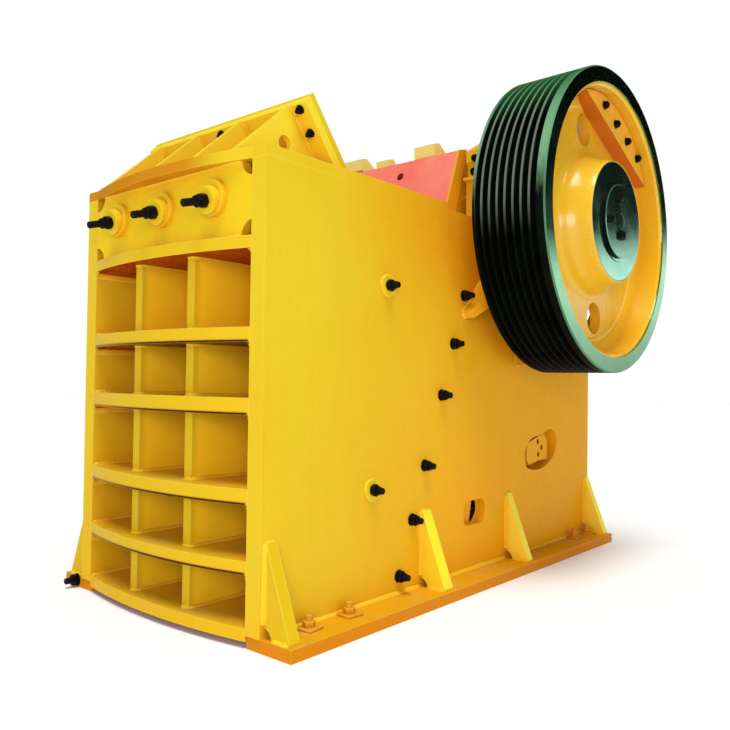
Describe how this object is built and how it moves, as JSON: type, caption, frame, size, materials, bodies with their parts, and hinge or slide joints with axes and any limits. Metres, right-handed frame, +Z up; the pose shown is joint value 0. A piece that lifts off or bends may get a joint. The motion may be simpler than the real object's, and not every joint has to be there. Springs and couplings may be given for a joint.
{
  "type": "jaw crusher",
  "caption": "Jaw crusher with a ribbed box frame, foot flanges, feed and jaw guards, swinging jaw on an eccentric shaft, grooved belt sheave and plain flywheel.",
  "frame": {"origin": "centre of the rectangle of the four outer foot bolt holes, in the plane the foot flanges stand on", "axes": "+X from the ribbed front wall to the rear, along the foot flanges; -Y is the side with the grooved sheave; +Z up"},
  "size_m": [3.695, 2.83, 3.0229],
  "materials": {
    "yellow_paint": "gloss",
    "salmon_paint": "gloss",
    "dark_green_paint": "gloss",
    "jaw_liner_steel": "cast",
    "cheek_liner_steel": "cast",
    "machined_steel": "satin",
    "black_steel": "satin"
  },
  "bodies": {
    "frame": {"side_plate_near": "yellow_paint", "side_plate_far": "yellow_paint", "base_flange_near": "yellow_paint", "base_flange_far": "yellow_paint", "base_gussets_near": "yellow_paint", "base_gussets_far": "yellow_paint", "front_wall_plate": "yellow_paint", "front_top_plate": "yellow_paint", "front_panel": "yellow_paint", "panel_bosses": "yellow_paint", "front_bottom_plate": "yellow_paint", "front_shelf_1": "yellow_paint", "front_shelf_2": "yellow_paint", "front_shelf_3": "yellow_paint", "front_shelf_4": "yellow_paint", "front_shelf_top": "yellow_paint", "partitions_near": "yellow_paint", "partitions_far": "yellow_paint", "feed_guard_liner": "yellow_paint", "feed_guard_plate": "yellow_paint", "feed_guard_gussets": "yellow_paint", "fixed_jaw_liner": "jaw_liner_steel", "cheek_liner_near": "cheek_liner_steel", "cheek_liner_far": "cheek_liner_steel", "bearing_cap_near": "yellow_paint", "bearing_cap_far": "yellow_paint", "bearing_block_near": "yellow_paint", "bearing_block_far": "yellow_paint", "bearing_ribs_near": "yellow_paint", "bearing_ribs_far": "yellow_paint", "rear_wall_plate": "yellow_paint", "rear_ribs": "yellow_paint", "toggle_beam": "yellow_paint", "toggle_plate": "yellow_paint", "tension_rods": "machined_steel", "tension_springs": "black_steel"},
    "rotor": {"eccentric_shaft": "machined_steel", "sheave_rim": "dark_green_paint", "sheave_web": "yellow_paint", "sheave_hub_cover": "dark_green_paint", "sheave_counterweight": "yellow_paint", "flywheel_rim": "dark_green_paint", "flywheel_web": "yellow_paint", "flywheel_hub_cover": "dark_green_paint", "flywheel_counterweight": "yellow_paint"},
    "jaw": {"moving_jaw_body": "yellow_paint", "moving_jaw_liner": "jaw_liner_steel", "jaw_guard_plate": "salmon_paint", "jaw_guard_frame": "yellow_paint", "jaw_guard_blocks": "yellow_paint", "jaw_toe_lugs": "yellow_paint"}
  },
  "joints": [
    {"name": "rotor_spin", "type": "hinge", "parent": "frame", "child": "rotor", "pos_m": [0.477, 0, 2.127], "axis": [0, 1, 0], "continuous": true},
    {"name": "jaw_pivot", "type": "hinge", "parent": "rotor", "child": "jaw", "pos_m": [0.46553, 0, 2.11062], "axis": [0, 1, 0], "continuous": true}
  ],
  "couplings": [
    {"joint": "jaw_pivot", "follows": "rotor_spin", "ratio": -1}
  ]
}
